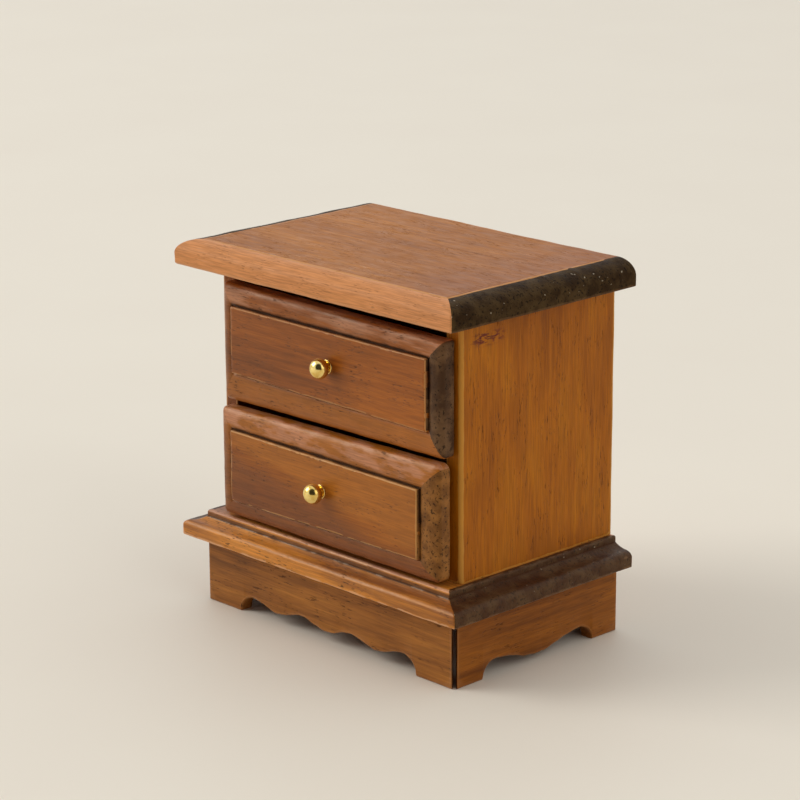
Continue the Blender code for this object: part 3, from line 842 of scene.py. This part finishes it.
def upper_stain_and_sheen(tree, place, skin):
    """The upper front's own stain, redder to the left and yellower below, and a pinkish painted sheen on
    its top roll.
    """
    across, _, height = split_place(tree, place)
    skin = tinted(tree, skin, (118, 62, 32), 0.25, ramp(tree, across, 14 * MM, -16 * MM))
    skin = tinted(tree, skin, (176, 104, 34), 0.6,
                  ramp(tree, height, upper_low.z + 4.0 * MM, upper_low.z + 3.2 * MM))
    # Pinkish painted sheen in patches along the top roll.
    sheen_patches = mottle(tree, stretched(tree, place, 150, 900, 0, (5, 5, 2)), 1.0, 3.0)
    return tinted(tree, skin, (206, 150, 116), 0.6, ramp(tree, sheen_patches, 0.36, 0.66),
                  ramp(tree, height, upper_high.z - 2.6 * MM, upper_high.z - 1.4 * MM))


def lower_stain_and_sheen(tree, place, skin):
    """A pale streak falls across the lower field with darker, purpler stain under it, and a pinkish
    painted sheen lies on the top roll.
    """
    across, _, height = split_place(tree, place)
    drift = mottle(tree, stretched(tree, place, 120, 420, 0, (9, 2, 4)), 1.0, 2.0)
    line = maths(tree, "MULTIPLY_ADD", across, 0.20, height)
    line = maths(tree, "MULTIPLY_ADD", drift, 4.5 * MM, line)
    skin = tinted(tree, skin, (186, 112, 36), 0.55,
                  ramp(tree, line, lower_high.z - 7.0 * MM, lower_high.z - 5.0 * MM))
    skin = tinted(tree, skin, (120, 66, 36), 0.6,
                  ramp(tree, line, lower_high.z - 6.0 * MM, lower_high.z - 9.5 * MM))
    # Pinkish painted sheen in patches along the top roll.
    sheen_patches = mottle(tree, stretched(tree, place, 260, 800, 0, (2, 8, 2)), 1.0, 4.0)
    return tinted(tree, skin, (212, 152, 122), 0.5, ramp(tree, sheen_patches, 0.40, 0.62),
                  ramp(tree, height, lower_high.z - 2.8 * MM, lower_high.z - 2.0 * MM))


upper_low, upper_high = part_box("upper_drawer_front")
lower_low, lower_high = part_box("lower_drawer_front")
FRONT_SHEEN = {"streak": 0.35, "blotch": 0.4, "wear": 0.5, "rub_width": 0.18, "dark_width": 0.75,
               "gloss": 0.36, "shine": 0.4}
upper_wood = stained_wood(
    "upper_front_stain", 0, ((122, 61, 15), (157, 83, 21), (178, 98, 26)), 12.0, (206, 150, 92),
    end_tones=((66, 42, 26), (106, 76, 50)), pores=0.6, extra=upper_stain_and_sheen, **FRONT_SHEEN)
lower_wood = stained_wood(
    "lower_front_stain", 0, ((128, 62, 12), (159, 86, 17), (178, 100, 23)), 13.0, (216, 162, 98),
    end_tones=((112, 70, 32), (152, 100, 48)), pores=0.55, extra=lower_stain_and_sheen, **FRONT_SHEEN)
# Each entry: lean of the outline at its bottom left, bottom right, top right and top left, then the
# borders left, right and at those four corners. The fronts were cut and cleaned up by hand.
FRONTS = {
    "upper_drawer": dict(
        low=upper_low, high=upper_high, wood=upper_wood,
        lean=(-0.5, -0.1, 0.3, 0.85), side_borders=(2.3, 2.8), borders=(4.0, 3.5, 2.5, 2.4),
        corners=(0.5, 0.6, 0.5, 0.3)),
    "lower_drawer": dict(
        low=lower_low, high=lower_high, wood=lower_wood,
        lean=(0.0, 0.0, 0.75, 0.1), side_borders=(2.7, 3.8), borders=(2.6, 2.9, 3.3, 3.0),
        corners=(0.6, 0.9, 1.2, 0.6)),
}
for drawer, make in FRONTS.items():
    low, high = make["low"], make["high"]
    lean = [amount * MM for amount in make["lean"]]
    left, right = low.x, high.x
    field_left, field_right = (border * MM for border in make["side_borders"])
    rise = [border * MM for border in make["borders"]]
    outer = [(left, low.z + lean[0]), (right, low.z + lean[1]),
             (right, high.z + lean[2]), (left, high.z + lean[3])]
    field = [(left + field_left, low.z + rise[0]), (right - field_right, low.z + rise[1]),
             (right - field_right, high.z - rise[2]), (left + field_left, high.z - rise[3])]
    front = fielded_front(drawer + "_fielded_front", outer, field, -high.y, -low.y,
                          [r * MM for r in make["corners"]])
    lean_room = Vector((0, 0, 1 * MM))
    hand_finish(front, 0.06 * MM, 3.0 * MM, low.z * 1000, low - lean_room, high + lean_room, 1)
    mark_edges(front, 14.0, 30.0)
    # Less of the painted shade and dark stain in the quirks of the lower half.
    middle = (low.z + high.z) / 2
    for point, mark in zip(front.vertices, front.attributes["hollow"].data):
        mark.value -= LOW_QUIRK_RELIEF if point.co.z < middle else 0.0
    mark_end_grain(front, front_ends(outer, field))
    assemble(drawer + "_fielded_front", front, make["wood"], drawer, "walnut_front", drawer + "_front")

# ---- knobs ---------------------------------------------------------------------------------------
# Turned brass: a ball on a short neck, with a thin collar that seats on the field and a pin glued
# into the front.
BALL = (1.52 * MM, 1.3 * MM)  # radius, half its length along the knob
NECK_RADIUS = 0.55 * MM
COLLAR = (1.05 * MM, 0.24 * MM)  # radius, thickness
PIN = (0.4 * MM, 2.4 * MM)  # radius, length
COLLAR_LIP = 0.1 * MM  # the collar's rounded rim
NECK_FILLET = 0.06 * MM
SEAT_GAP = 0.03 * MM  # between the collar and the field


def turned_brass():
    """Polished brass, slightly tarnished, with fine turning marks round its axis."""
    material, tree, shader, place = new_finish("turned_brass")
    tarnish = mottle(tree, place, 900.0, 3.0)
    feed(tree, shader["Base Color"],
         mixed(tree, ramp(tree, tarnish, 0.4, 0.7), colour(246, 220, 140), colour(224, 186, 98)))
    shader["Metallic"].default_value = 1.0
    feed(tree, shader["Roughness"], maths(tree, "MULTIPLY_ADD", tarnish, 0.16, 0.06))
    turning = mottle(tree, stretched(tree, place, 9000, 400, 1), 1.0, 1.0)
    add_relief(tree, shader, turning, 0.25, 0.01 * MM)
    return material


def turned_knob(name, low, high):
    """The knob's half section spun about its axis, then laid along -Y on its place."""
    radius, half_length = BALL
    pin_radius, pin_length = PIN
    centre = (high.y - low.y) - pin_length - half_length
    neck_angle = math.degrees(math.asin(NECK_RADIUS / radius))
    section = [(radius * s, centre + half_length * c) for s, c in quarter(28, 0.0, 180.0 - neck_angle)]
    neck_top = section[-1][1]
    collar_radius, collar_front = COLLAR
    neck_foot = collar_front + NECK_FILLET
    section += [(NECK_RADIUS, neck_top + (neck_foot - neck_top) * k / 4) for k in range(1, 5)]
    section += [(NECK_RADIUS + NECK_FILLET * (1 - c), neck_foot - NECK_FILLET * s)
                for s, c in quarter(4)[1:]]
    rim_radius, rim_height = collar_radius - COLLAR_LIP, collar_front - COLLAR_LIP
    section += [(rim_radius + COLLAR_LIP * s, rim_height + COLLAR_LIP * c) for s, c in quarter(5)]
    section += [(collar_radius, SEAT_GAP), (pin_radius, SEAT_GAP), (pin_radius, -pin_length),
                (0.0, -pin_length)]
    shape = bmesh.new()
    points = [shape.verts.new((r, 0.0, z)) for r, z in section]
    for first, second in zip(points, points[1:]):
        shape.edges.new((first, second))
    bmesh.ops.spin(shape, geom=shape.verts[:] + shape.edges[:], axis=(0, 0, 1), cent=(0, 0, 0),
                   angle=math.tau, steps=72, use_merge=True)
    bmesh.ops.remove_doubles(shape, verts=shape.verts, dist=0.002 * MM)
    bmesh.ops.recalc_face_normals(shape, faces=shape.faces)
    mesh = bpy.data.meshes.new(name)
    shape.to_mesh(mesh)
    shape.free()
    seat = Vector(((low.x + high.x) / 2, high.y - pin_length, (low.z + high.z) / 2))
    mesh.transform(Matrix.Translation(seat) @ Matrix.Rotation(math.radians(90), 4, "X"))
    return mesh


brass = turned_brass()
for drawer in ("upper_drawer", "lower_drawer"):
    knob_low, knob_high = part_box(drawer + "_knob")
    knob = turned_knob(drawer + "_turned_knob", knob_low, knob_high)
    assemble(drawer + "_turned_knob", knob, brass, drawer, "polished_brass", drawer + "_knob")

# ---- studio --------------------------------------------------------------------------------------
# A plain pale table in an even white room with one dark wall, which the brass and the varnish
# mirror. A big soft light stands high on the left of the camera, and a weak one on its right.
TABLE_HALF = 4.0
ROOM_STRENGTH = 0.87
DARK_WALL_TOWARDS = Vector((0.42, -0.80, 0.42)).normalized()
DARK_WALL_FADE = (0.70, 0.86)  # cosines of the angle from its middle

table_mesh = bpy.data.meshes.new("table")
corners = ((-1, -1), (1, -1), (1, 1), (-1, 1))
table_mesh.from_pydata([(x * TABLE_HALF, y * TABLE_HALF, 0) for x, y in corners], [], [(0, 1, 2, 3)])
table_finish, table_tree, table_shader, table_place = new_finish("pale_table")
feed(table_tree, table_shader["Base Color"],
     mixed(table_tree, mottle(table_tree, table_place, 25.0, 2.0), colour(234, 226, 210),
           colour(231, 222, 206)))
table_shader["Roughness"].default_value = 0.6
table_mesh.materials.append(table_finish)
table = bpy.data.objects.new("table", table_mesh)
bpy.context.scene.collection.objects.link(table)

world = bpy.data.worlds.new("soft_room")
world.use_nodes = True
room = world.node_tree
towards = room.nodes.new("ShaderNodeTexCoord").outputs["Generated"]
facing = add_node(room, "ShaderNodeVectorMath", operation="DOT_PRODUCT")
facing.inputs[1].default_value = DARK_WALL_TOWARDS
feed(room, facing.inputs[0], towards)
wall = ramp(room, facing.outputs["Value"], *DARK_WALL_FADE)
background = room.nodes["Background"].inputs
feed(room, background["Color"], mixed(room, wall, (1.0, 1.0, 1.0, 1.0), (0.05, 0.05, 0.05, 1.0)))
background["Strength"].default_value = ROOM_STRENGTH
bpy.context.scene.world = world


def soft_light(name, place, aim, size, power):
    """A square soft box aimed at a point."""
    lamp = bpy.data.lights.new(name, "AREA")
    lamp.shape = "SQUARE"
    lamp.size = size
    lamp.energy = power
    holder = bpy.data.objects.new(name, lamp)
    holder.location = place
    holder.rotation_euler = (Vector(aim) - Vector(place)).to_track_quat("-Z", "Y").to_euler()
    bpy.context.scene.collection.objects.link(holder)


soft_light("window_light", (-1.5, -1.2, 1.15), (0, 0, 0.02), 1.1, 20.0)
soft_light("fill_light", (1.8, -0.33, 1.15), (0, 0, 0.03), 1.3, 4.5)

camera_data = bpy.data.cameras.new("camera")
camera_data.lens = 130.12
camera_data.sensor_width = 36.0
camera_data.clip_start = 0.01
camera_data.clip_end = 20.0
camera = bpy.data.objects.new("camera", camera_data)
camera.location = (0.2899, -0.280875, 0.1509)
camera.rotation_euler = [math.radians(a) for a in (73.789, 0.235, 45.823)]
bpy.context.scene.collection.objects.link(camera)
bpy.context.scene.camera = camera
bpy.context.scene.view_settings.view_transform = "Standard"
